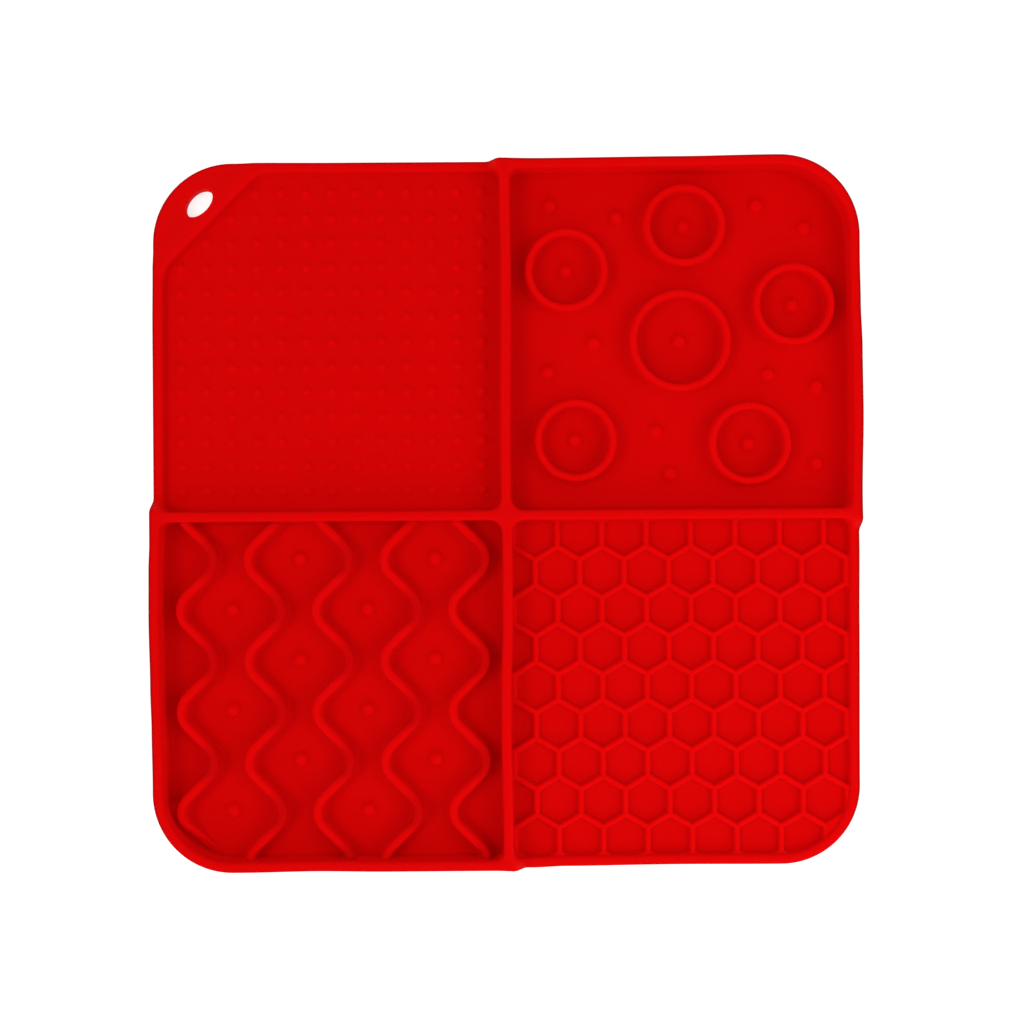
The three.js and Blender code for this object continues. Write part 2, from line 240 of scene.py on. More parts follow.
@dataclass(frozen=True)
class Ridge:
    """The moulded section of a wall, rib or ring: level crest, rounded edges, drafted flanks, filleted feet.

    The angles are those of the mesh rows round an edge and round a foot, in degrees.
    """

    half_width: float
    draft: float
    edge: float
    foot: float
    angles: tuple[float, ...] = (0.0, 30.0, 58.0, 84.0)

    def high_rows(self) -> list[float]:
        """Gives the distances from the middle line of the mesh rows over the rounded edge."""
        sines = np.sin(np.radians(self.angles))
        return (self.half_width - self.draft / 2 - self.edge * (1 - sines)).tolist()

    def low_rows(self) -> list[float]:
        """Gives the distances from the middle line of the mesh rows over the foot."""
        sines = np.sin(np.radians(self.angles[::-1]))
        return (self.half_width + self.draft / 2 + self.foot * (1 - sines)).tolist()

    def both_sides(self) -> list[float]:
        """Gives the offsets of all the rows across a whole ridge, its middle line first."""
        side = self.high_rows() + self.low_rows()
        return [0.0, *side, *[-each for each in side]]

    def height(self, distance: np.ndarray, top: np.ndarray | float) -> np.ndarray:
        """Gives the height over the floor at a distance from the middle line.

        The edge and the foot are quarter circles, and the flank between them is straight.

        Args:
            distance: Distances from the middle line.
            top: The crest's height over the floor there.

        Returns:
            The heights.
        """
        flank_head = self.half_width - self.draft / 2
        flank_foot = self.half_width + self.draft / 2
        steepest = math.sin(math.radians(self.angles[-1]))
        into_edge = np.clip((distance - flank_head + self.edge) / self.edge, 0.0, steepest)
        head = top - self.edge * (1 - np.sqrt(1 - into_edge**2))
        off_foot = np.clip((flank_foot + self.foot - distance) / self.foot, 0.0, steepest)
        foot = self.foot * (1 - np.sqrt(1 - off_foot**2))
        down = np.clip((distance - flank_head) / self.draft, 0.0, 1.0)
        return head + (foot - head) * down


@dataclass(frozen=True)
class Row:
    """A row of mesh points that follows the relief: joined into a loop, or open, or not joined at all."""

    points: np.ndarray
    closed: bool = True
    joined: bool = True


def everywhere(points: np.ndarray) -> np.ndarray:
    """Tells that every point is kept."""
    return np.ones(len(points), dtype=bool)


class Quarter(Enum):
    """The quarters of the mat, by the signs of x and y."""

    NUBS = (-1, 1)
    RINGS = (1, 1)
    WAVES = (-1, -1)
    HONEYCOMB = (1, -1)

    def holds(self, points: np.ndarray) -> np.ndarray:
        """Tells which of the mould's places are in this quarter."""
        sign_x, sign_y = self.value
        return (points[:, 0] * sign_x > 0) & (points[:, 1] * sign_y >= 0)


@dataclass(frozen=True)
class Walls:
    """The rims and the cross of dividers, and with them the tab and the bead along its inner edge."""

    half_side: float = 100.0
    corner_radius: float = 22.5
    thickness: float = 2.8
    floor: float = 2.0
    tall: float = 10.0
    low: float = 4.5
    ramp: tuple[float, float] = (1.5, 5.3)
    cross_fillet: float = 3.6
    rim_fillet: float = 2.6
    tab_leg: float = 27.4
    tab_fillet: float = 9.0
    tab_top: float = 3.6
    bead: tuple[float, float] = (119.9, 124.0)
    tab_rows: int = 8
    tab_margins: tuple[float, float] = (1.0, 3.0)
    step: float = 1.0
    arc_step: float = 0.55
    section: Ridge = Ridge(half_width=0.0, draft=0.1, edge=1.0, foot=0.8)
    floor_row: float = 1.4
    edge_row: float = 1.05

    def outline(self) -> RoundedShape:
        """Gives the mat's own outline in its mould."""
        side, radius = self.half_side, self.corner_radius
        return RoundedShape(tuple((x * side, y * side, radius) for x, y in SQUARE))

    def bay(self, quarter: Quarter) -> RoundedShape:
        """Gives the outline of a bay in the mould.

        Args:
            quarter: The quarter of the mat that the bay is in.

        Returns:
            The bay's outline at half the height of its walls.
        """
        near, far = self.thickness / 2, self.half_side - self.thickness
        outer = [(far, far, self.corner_radius - self.thickness)]
        if quarter is Quarter.NUBS:
            outer = [(far, far - self.tab_leg, self.tab_fillet), (far - self.tab_leg, far, self.tab_fillet)]
        right, back = (far, near, self.rim_fillet), (near, far, self.rim_fillet)
        corners = [(near, near, self.cross_fillet), right, *outer, back]
        sign_x, sign_y = quarter.value
        signed = [(x * sign_x, y * sign_y, radius) for x, y, radius in corners]
        return RoundedShape(tuple(signed if sign_x * sign_y > 0 else signed[::-1]))

    def depth(self, points: np.ndarray) -> np.ndarray:
        """Gives how far inside their own quarter's bay places are.

        Args:
            points: Places in the mould.

        Returns:
            Their depths, negative in the walls.
        """
        depth = np.empty(len(points))
        for quarter in Quarter:
            here = quarter.holds(points) | (points[:, 0] == 0)
            depth[here] = self.bay(quarter).depth(points[here])
        return depth

    def top(self, points: np.ndarray) -> np.ndarray:
        """Gives the walls' top over the table: tall, or low with ramps up to the dividers, or the tab's.

        Args:
            points: Places in the mould.

        Returns:
            The heights.
        """
        x, y = points[:, 0], points[:, 1]
        head, foot = self.ramp
        risen = 1 - ease((np.minimum(np.abs(x), np.abs(y)) - head) / (foot - head))
        top = np.where(x * y > 0, self.tall, self.low + (self.tall - self.low) * risen)
        on_tab = ease(((y - x) / math.sqrt(2) - self.bead[0]) / (self.bead[1] - self.bead[0]))
        return top + (self.tab_top - top) * np.where((x < 0) & (y > 0), on_tab, 0.0)

    def height(self, points: np.ndarray) -> np.ndarray:
        """Gives the walls' height over the floor."""
        return self.section.height(self.depth(points), self.top(points) - self.floor)

    def _bay_rows(self, insets: list[float]) -> list[Row]:
        """Gives rows round every bay at the given insets, in the mould."""
        bays = [self.bay(quarter) for quarter in Quarter]
        return [Row(bay.loop(inset, self.step, self.arc_step)) for bay in bays for inset in insets]

    def edge_rows(self) -> list[Row]:
        """Gives the rows over the rounded edges of the walls' crests and down to their feet, in the mould."""
        return self._bay_rows([*self.section.high_rows(), self.section.low_rows()[0]])

    def foot_rows(self) -> list[Row]:
        """Gives the rows along the walls' feet, in the mould."""
        return self._bay_rows([*self.section.low_rows()[1:], self.floor_row])

    def crest_rows(self) -> list[Row]:
        """Gives the rows over the walls' crests: along their middles, near the outer edge and over the tab.

        Returns:
            The rows, in the mould.
        """
        middle = self.half_side - self.thickness / 2
        along = np.arange(-middle + self.step, middle - self.step, self.step)
        insets = (self.edge_row, self.thickness / 2)
        rows = [Row(self.outline().loop(inset, self.step, self.arc_step)) for inset in insets]
        rows += [Row(np.stack([along * sx, along * (1 - sx)], axis=1), closed=False) for sx in (1, 0)]
        before, after = self.tab_margins
        for distance in np.linspace(self.bead[0] - before, self.bead[1] + after, self.tab_rows):
            across = np.arange(-self.tab_leg, self.tab_leg, self.step)
            points = np.stack([across - distance, across + distance], axis=1) / math.sqrt(2)
            rows.append(Row(points[self.outline().depth(points) > before], closed=False))
        return rows


@dataclass(frozen=True)
class Bumps:
    """Studs or nubs of one kind: low, round, and eased from a flat top to the foot, which is at its reach.

    Each of the rounds of mesh points is (share of the reach, number of points).
    """

    reach: float
    flat: float
    tall: float
    rounds: Table
    turn: float = 0.2

    def height(self, points: np.ndarray, places: np.ndarray) -> np.ndarray:
        """Gives the height over the floor at points that the nearest of the bumps at places adds."""
        nearest = np.min([distances(points, place) for place in places], axis=0)
        return self.tall * ease((self.reach - nearest) / (self.reach - self.flat))

    def rows(self, places: np.ndarray) -> list[Row]:
        """Gives the bumps' rows of mesh points: each one's middle, and its rounds.

        Args:
            places: The bumps' middles.

        Returns:
            The rows, with every second round turned by half a step.
        """
        rows = [Row(places, joined=False)]
        for number, (share, count) in enumerate(self.rounds):
            round_about = self.reach * share * circle(count, self.turn + math.pi * (number % 2) / count)
            rows += [Row(place + round_about) for place in places]
        return rows


@dataclass(frozen=True)
class NubGrid:
    """The small nubs of the back left bay, in a square grid whose corner is cut off."""

    pitch: tuple[float, float] = (7.13, -7.08)
    first: tuple[float, float] = (-92.1, 91.7)
    count: int = 13
    cut_off: int = 3
    kind: Bumps = Bumps(reach=2.0, flat=0.3, tall=0.8, rounds=((0.28, 6), (0.52, 8), (0.76, 8), (1.0, 9)))

    def places(self) -> np.ndarray:
        """Gives the nubs' middles."""
        steps = np.stack(np.meshgrid(np.arange(self.count), np.arange(self.count)), axis=-1)
        return self.first + self.pitch * steps[steps.sum(axis=-1) >= self.cut_off]

    def height(self, points: np.ndarray) -> np.ndarray:
        """Gives the nubs' height over the floor."""
        return self.kind.height(points, self.places())

    def rows(self) -> list[Row]:
        """Gives the nubs' rows of mesh points."""
        return self.kind.rows(self.places())


STUD = Bumps(
    reach=2.7,
    flat=0.9,
    tall=1.5,
    rounds=((0.18, 6), (0.34, 10), (0.5, 14), (0.66, 16), (0.82, 16), (1.0, 16)),
)


@dataclass(frozen=True)
class RingField:
    """The rings of the back right bay, a stud in the middle of each, and the single studs between them."""

    rings: Table = (
        (50.8, 81.2, 10.55), (17.5, 68.7, 10.7), (49.5, 48.6, 13.3), (81.6, 58.7, 10.55), (19.8, 20.6, 10.6),
        (69.0, 19.5, 10.6),
    )
    lone_studs: Table = (
        (13.0, 87.3), (31.9, 83.9), (71.6, 87.1), (85.2, 80.6), (25.2, 48.3), (12.1, 40.0), (74.7, 39.1),
        (88.6, 35.5), (42.8, 23.1), (46.7, 11.0), (88.4, 13.6),
    )
    tall: float = 5.0
    section: Ridge = Ridge(half_width=1.02, draft=0.1, edge=0.85, foot=1.6)
    step: float = 0.85

    def studs(self) -> np.ndarray:
        """Gives the middles of all the bay's studs."""
        return np.array([ring[:2] for ring in self.rings] + list(self.lone_studs))

    def height(self, points: np.ndarray) -> np.ndarray:
        """Gives the rings' and studs' height over the floor."""
        nearest = np.min([np.abs(distances(points, ring) - ring[2]) for ring in self.rings], axis=0)
        return np.maximum(self.section.height(nearest, self.tall), STUD.height(points, self.studs()))

    def rows(self) -> list[Row]:
        """Gives the rings' and studs' rows of mesh points.

        Returns:
            The rows.
        """
        rows = []
        for x, y, radius in self.rings:
            round_about = circle(round(2 * math.pi * radius / self.step))
            radii = [radius + offset for offset in self.section.both_sides()]
            rows += [Row(np.array([x, y]) + round_about * each) for each in radii]
        return rows + STUD.rows(self.studs())


@dataclass(frozen=True)
class WaveField:
    """The wavy ribs of the front left bay, each the mirror of the one beside it, and the studs between them.

    A rib is quarter arcs joined by straight runs at 45 degrees. Its crest is level all along, and at each of
    its bends to the right it is painted darker, which is painted shade. Only the leftmost rib runs down at
    the round
    corner: low_end is where along y that begins, where it ends, and the share of its height that is left. A
    web fills the gap beside it where the rim comes nearer to the rib's middle line than web_gap.
    """

    count: int = 5
    first_x: float = -87.5
    pitch: float = 19.2
    swing: float = 9.4
    first_turn_y: float = -12.5
    half_period: float = 14.28
    turns: int = 7
    tall: float = 5.2
    section: Ridge = Ridge(half_width=1.2, draft=0.1, edge=0.9, foot=1.7)
    low_end: tuple[float, float, float] = (-84.0, -95.0, 0.1)
    web_tall: float = 2.2
    web_gap: float = 4.9
    web_ramp: float = 0.9
    # Painted shade on the crests at the bends to the right: its half length, its ramp, its margin past the
    # crest, and how dark it gets.
    painted_shade_half: float = 7.0
    painted_shade_ramp: float = 4.2
    painted_shade_margin: float = 0.4
    deepest_painted_shade: float = 0.25
    step: float = 0.75

    def bend(self) -> float:
        """Gives the radius of the middle line's bends, which makes the straight runs lie at 45 degrees."""
        return (self.half_period - self.swing) / (2 * (math.sqrt(2) - 1))

    def studs(self) -> np.ndarray:
        """Gives the studs' middles, one wherever two ribs stand furthest apart.

        Returns:
            The middles, n by 2.
        """
        gap, row = np.meshgrid(np.arange(self.count - 1), np.arange(self.turns - 1), indexing="ij")
        wide = (gap + row) % 2 == 1
        x = self.first_x + self.pitch * (gap[wide] + 0.5)
        y = self.first_turn_y - self.half_period * row[wide]
        return np.stack([x, y], axis=1)

    def _folded(self, points: np.ndarray) -> tuple[np.ndarray, np.ndarray, np.ndarray]:
        """Folds points about their rib's middle and their nearest turn, so that one bend serves for all.

        Args:
            points: Places on the mat.

        Returns:
            Their distances from the rib's middle line, their distances along y from the middle of the
            nearest bend, and the way that bend goes: 1 to the right and -1 to the left.
        """
        rib = np.clip(np.round((points[:, 0] - self.first_x) / self.pitch), 0, self.count - 1)
        turn = np.round((self.first_turn_y - points[:, 1]) / self.half_period)
        way = np.where((rib + turn) % 2 == 0, 1.0, -1.0)
        across = way * (points[:, 0] - self.first_x - self.pitch * rib)
        past = points[:, 1] - self.first_turn_y + self.half_period * turn
        bend = self.bend()
        from_centre = across - (self.swing / 2 - bend)
        on_bend = np.abs(past) < from_centre
        to_bend = np.abs(np.hypot(from_centre, past) - bend)
        to_run = np.abs(across + np.abs(past) - self.half_period / 2) / math.sqrt(2)
        return np.where(on_bend, to_bend, to_run), np.abs(past), way

    def _risen(self, points: np.ndarray) -> np.ndarray:
        """Gives the share of its full height that a rib has, which falls only at the leftmost rib's end.

        Args:
            points: Places on the mat.

        Returns:
            The shares.
        """
        head_y, foot_y, low = self.low_end
        at_leftmost = points[:, 0] < self.first_x + self.pitch / 2
        return 1 - (1 - low) * ease((points[:, 1] - head_y) / (foot_y - head_y)) * at_leftmost

    def height(self, points: np.ndarray, depth: np.ndarray) -> np.ndarray:
        """Gives the height over the floor of the ribs, the studs and the web at the corner.

        Args:
            points: Places on the mat.
            depth: How far they are inside the bay.

        Returns:
            The heights.
        """
        distance = self._folded(points)[0]
        gap = distance + np.maximum(depth, 0.0)
        at_corner = (points < self.first_x + self.pitch / 2).all(axis=1)
        web = self.web_tall * ease((self.web_gap - gap) / self.web_ramp) * at_corner
        ribs = np.maximum(self.section.height(distance, self.tall), web) * self._risen(points)
        return np.maximum(ribs, STUD.height(points, self.studs()))

    def painted_shade(self, points: np.ndarray) -> np.ndarray:
        """Gives the painted shade that darkens the ribs: only on the crests, eased out either way from a bend
        to the right.

        Args:
            points: Places on the mat.

        Returns:
            The painted shade, from 0 to 1.
        """
        distance, past, way = self._folded(points)
        on_crest = ease((self.section.half_width + self.painted_shade_margin - distance) / self.painted_shade_margin)
        on_bend = ease((self.painted_shade_half - past) / self.painted_shade_ramp) * (way > 0)
        return self.deepest_painted_shade * on_crest * on_bend * self._risen(points)

    def middle_line(self) -> tuple[np.ndarray, np.ndarray]:
        """Works out a rib's middle line about x = 0, its first turn to the right.

        Returns:
            The line's points, and at each of them the normal.
        """
        bend = self.bend()
        arc_cuts = max(2, round(bend * math.pi / 2 / self.step))
        angles = np.linspace(math.pi / 4, -math.pi / 4, arc_cuts + 1)
        run_length = math.sqrt(2) * (self.half_period - 2 * bend * math.sin(math.pi / 4))
        run_cuts = max(1, round(run_length / self.step))
        points, normals = [], []
        for turn in range(-1, self.turns + 1):
            way = 1 if turn % 2 == 0 else -1
            centre = np.array([way * (self.swing / 2 - bend), self.first_turn_y - self.half_period * turn])
            outwards = np.stack([way * np.cos(angles), np.sin(angles)], axis=1)
            arc = centre + bend * outwards
            if points:
                share = (np.arange(1, run_cuts) / run_cuts)[:, None]
                points.append(points[-1][-1] + (arc[0] - points[-1][-1]) * share)
                normals.append(np.repeat(way * outwards[:1], run_cuts - 1, axis=0))
            points.append(arc)
            normals.append(way * outwards)
        return np.concatenate(points), np.concatenate(normals)

    def rows(self) -> list[Row]:
        """Gives the ribs' and studs' rows of mesh points.

        Returns:
            The rows.
        """
        line, normals = self.middle_line()
        rows = []
        for rib in range(self.count):
            middle = np.array([self.first_x + self.pitch * rib, 0.0])
            mirror = np.array([1.0 if rib % 2 == 0 else -1.0, 1.0])
            sides = [line + normals * offset for offset in self.section.both_sides()]
            rows += [Row(middle + side * mirror, closed=False) for side in sides]
        return rows + STUD.rows(self.studs())


@dataclass(frozen=True)
class Honeycomb:
    """The low honeycomb of the front right bay: upright hexagons between rounded ridges."""

    pitch: tuple[float, float] = (12.62, 10.88)
    first: tuple[float, float] = (14.45, -16.7)
    tall: float = 1.7
    section: Ridge = Ridge(half_width=0.78, draft=0.16, edge=0.5, foot=0.8)
    cuts: int = 6
    reach: int = 10

    def _halves(self) -> tuple[float, float]:
        """Gives how far a cell's upright sides and its slanting sides are from its middle."""
        return self.pitch[0] / 2, math.hypot(self.pitch[0] / 2, self.pitch[1]) / 2

    def places(self, bay: RoundedShape) -> np.ndarray:
        """Gives the middles of the cells that lie in the bay.

        Args:
            bay: The bay's outline.

        Returns:
            The middles, n by 2.
        """
        each_way = np.arange(-self.reach, self.reach)
        row, column = np.meshgrid(each_way, each_way)
        steps = np.stack([column + 0.5 * (row % 2), row], axis=-1).reshape(-1, 2)
        places = self.first + self.pitch * steps
        return places[bay.depth(places) > 0]

    def height(self, points: np.ndarray, bay: RoundedShape) -> np.ndarray:
        """Gives the ridges' height over the floor.

        The distance to a ridge is the least distance to a side of the nearest cell's own hexagon, and a place
        whose nearest cell isn't in the bay is as high as the ridges.

        Args:
            points: Places on the mat.
            bay: The bay's outline.

        Returns:
            The heights.
        """
        places = self.places(bay)
        nearest = np.argmin([distances(points, place) for place in places], axis=0)
        off = np.abs(points - places[nearest])
        half_x, half_slant = self._halves()
        to_slant = half_slant - (off[:, 0] * half_x + off[:, 1] * self.pitch[1]) / (2 * half_slant)
        to_side = np.minimum(half_x - off[:, 0], to_slant)
        return self.section.height(np.maximum(to_side, 0.0), self.tall)

    def rows(self, bay: RoundedShape) -> list[Row]:
        """Gives each cell's rows of mesh points: its hexagon, moved inwards by the section's distances.

        Args:
            bay: The bay's outline.

        Returns:
            The rows.
        """
        half_x, half_slant = self._halves()
        rows = []
        for inset in [0.0, *self.section.high_rows(), *self.section.low_rows()]:
            side = half_x - inset
            point = (half_slant - inset) * 2 * half_slant / self.pitch[1]
            shoulder = point - side * half_x / self.pitch[1]
            right = [(side, -shoulder), (side, shoulder), (0, point)]
            corners = np.array(right + [(-x, -y) for x, y in right])
            share = (np.arange(self.cuts) / self.cuts)[:, None]
            sides = corners[:, None] + (np.roll(corners, -1, axis=0) - corners)[:, None] * share
            hexagon = sides.reshape(-1, 2)
            rows += [Row(place + hexagon) for place in self.places(bay)]
        return rows


@dataclass(frozen=True)
class Slot:
    """The oval hole through the tab, longer along the tab's inner edge."""

    place: tuple[float, float] = (-86.7, 88.8)
    half_length: float = 4.7
    half_width: float = 2.95
    turn: float = math.pi / 4
    steps: int = 40

    def _halves(self, outset: float) -> np.ndarray:
        """Gives the steps from the middle to the end and to the side of the hole widened by outset."""
        cos, sin = math.cos(self.turn), math.sin(self.turn)
        return np.array([[cos, sin], [-sin, cos]]) * [[self.half_length + outset], [self.half_width + outset]]

    def loop(self, outset: float) -> np.ndarray:
        """Gives the edge of the hole widened by outset."""
        return self.place + circle(self.steps) @ self._halves(outset)

    def outside(self, points: np.ndarray, outset: float) -> np.ndarray:
        """Tells which points are outside the hole widened by outset."""
        return np.linalg.norm((points - self.place) @ np.linalg.inv(self._halves(outset)), axis=1) > 1


class PointBank:
    """Gathers rows of mesh points, leaving out those too near to points of earlier rows."""

    def __init__(self, half: float, cell: float) -> None:
        """Starts an empty bank over a square.

        Args:
            half: Half the square's side.
            cell: The side of the small squares by which nearness is judged.
        """
        self.half, self.cell = half, cell
        self.size = int(2 * half / cell) + 1
        self.taken = np.zeros((self.size, self.size), dtype=bool)
        self.points: list[np.ndarray] = []
        self.edges: list[np.ndarray] = []
        self.total = 0

    def _cells(self, points: np.ndarray) -> tuple[np.ndarray, np.ndarray]:
        """Gives the small squares that points are in."""
        cells = np.clip(((points + self.half) / self.cell).astype(int), 0, self.size - 1)
        return cells[:, 0], cells[:, 1]

    def _crowded(self, gap: float) -> np.ndarray:
        """Marks the small squares within gap of a point: the taken ones, shifted to every place in a disc.

        Args:
            gap: The least distance that new points keep, where 0 marks nothing.

        Returns:
            True for each small square that is too near.
        """
        marked = np.zeros_like(self.taken)
        if gap > 0:
            reach = math.ceil(gap / self.cell)
            each_way = range(-reach, reach + 1)
            for shift in [(dx, dy) for dx in each_way for dy in each_way if math.hypot(dx, dy) <= reach]:
                marked |= np.roll(self.taken, shift, axis=(0, 1))
        return marked

    def add(self, rows: list[Row], gap: float, keep: Test) -> None:
        """Adds rows, with an edge between joined neighbours that are both kept.

        Args:
            rows: The rows, none of which crowds another.
            gap: The least distance from points added by earlier calls.
            keep: A further test of which points are kept.
        """
        crowded = self._crowded(gap)
        added = []
        for row in rows:
            kept = ~crowded[self._cells(row.points)] & keep(row.points)
            if row.joined:
                number = np.where(kept, self.total + np.cumsum(kept) - 1, -1)
                pairs = np.stack([number, np.roll(number, -1)], axis=1)[: None if row.closed else -1]
                self.edges.append(pairs[(pairs >= 0).all(axis=1)])
            added.append(row.points[kept])
            self.total += len(added[-1])
        self.points += added
        self.taken[self._cells(np.concatenate(added))] = True


def triangulate(points: np.ndarray, edges: np.ndarray) -> tuple[np.ndarray, np.ndarray, np.ndarray]:
    """Joins points into triangles that keep the given edges.

    Args:
        points: The points, n by 2.
        edges: Pairs of their numbers.

    Returns:
        The points in their new order, the triangles, anticlockwise, and each old point's new number.
    """
    places, _, faces, sources, *_ = delaunay_2d_cdt(points.tolist(), edges.tolist(), [], 0, SAME_PLACE)
    places, faces = np.array(places), np.array(faces)
    a, b, c = (places[faces[:, i]] for i in range(3))
    area = (b[:, 0] - a[:, 0]) * (c[:, 1] - a[:, 1]) - (b[:, 1] - a[:, 1]) * (c[:, 0] - a[:, 0])
    faces[area < 0] = faces[area < 0][:, ::-1]
    new_number = np.full(len(points), -1)
    counts = [len(source) for source in sources]
    new_number[np.concatenate(sources).astype(int)] = np.repeat(np.arange(len(places)), counts)
    return places, faces[np.abs(area) > NOTHING], new_number


def band(first: np.ndarray, second: np.ndarray) -> np.ndarray:
    """Joins two closed rows of equally many point numbers by triangles.

    Args:
        first: The upper or inner row.
        second: The lower or outer row.

    Returns:
        The triangles, two for each step.
    """
    first_on, second_on = np.roll(first, -1), np.roll(second, -1)
    halves = [(first, second, second_on), (first, second_on, first_on)]
    return np.concatenate([np.stack(half, axis=1) for half in halves])


@dataclass(frozen=True)
class MattSilicone:
    """The finish: deep red silicone rubber, matt, faintly mottled, and a touch lighter where it stands up,
    which is painted light.

    The painted shade on the mesh, from 0 to 1, turns it to a darker red.
    """

    red: Colour = (0.56, 0.0006, 0.001, 1.0)
    mottled_red: Colour = (0.6, 0.0008, 0.0012, 1.0)
    painted_light_red: Colour = (0.61, 0.001, 0.0014, 1.0)
    painted_shade_red: Colour = (0.12, 0.0005, 0.0009, 1.0)
    painted_light_from: float = 0.0022
    painted_light_to: float = 0.0038
    mottle_scale: float = 55.0
    mottle_detail: float = 3.0
    roughness: float = 0.7
    gloss: float = 0.06
    gloss_tint: Colour = (1.0, 0.1, 0.08, 1.0)
    glow: float = 0.6
    glow_reach: float = 0.0025
    glow_tint: tuple[float, float, float] = (1.0, 0.05, 0.04)

    def make(self) -> bpy.types.Material:
        """Makes the material, with its patterns on Object coordinates.

        Returns:
            The material.
        """
        material = bpy.data.materials.new("matt_red_silicone")
        material.use_nodes = True
        nodes, links = material.node_tree.nodes, material.node_tree.links
        shader = nodes["Principled BSDF"]
        constants = {
            "Roughness": self.roughness,
            "Specular IOR Level": self.gloss,
            "Specular Tint": self.gloss_tint,
            "Subsurface Weight": self.glow,
            "Subsurface Radius": self.glow_tint,
            "Subsurface Scale": self.glow_reach,
        }
        set_inputs(shader, constants)
        place = nodes.new("ShaderNodeTexCoord")
        mottle = nodes.new("ShaderNodeTexNoise")
        set_inputs(mottle, {"Scale": self.mottle_scale, "Detail": self.mottle_detail})
        links.new(place.outputs["Object"], mottle.inputs["Vector"])
        axes = nodes.new("ShaderNodeSeparateXYZ")
        links.new(place.outputs["Object"], axes.inputs["Vector"])
        # Painted light: the red turns lighter with height over the table.
        painted_light_node = nodes.new("ShaderNodeMapRange")
        painted_light_node.interpolation_type = "SMOOTHSTEP"
        set_inputs(painted_light_node, {"From Min": self.painted_light_from, "From Max": self.painted_light_to})
        links.new(axes.outputs["Z"], painted_light_node.inputs["Value"])
        # Painted shade: the mesh's shade attribute turns the red darker.
        shade_attribute_node = nodes.new("ShaderNodeAttribute")
        shade_attribute_node.attribute_name = PAINTED_SHADE
        tints = [
            (mottle.outputs["Fac"], self.mottled_red),
            (painted_light_node.outputs["Result"], self.painted_light_red),
            (shade_attribute_node.outputs["Fac"], self.painted_shade_red),
        ]
        colour = None
        for factor, tint in tints:
            mix = nodes.new("ShaderNodeMix")
            mix.data_type = "RGBA"
            set_inputs(mix, {"A": self.red, "B": tint})
            links.new(factor, mix.inputs["Factor"])
            if colour is not None:
                links.new(colour, mix.inputs["A"])
            colour = mix.outputs["Result"]
        links.new(colour, shader.inputs["Base Color"])
        return material


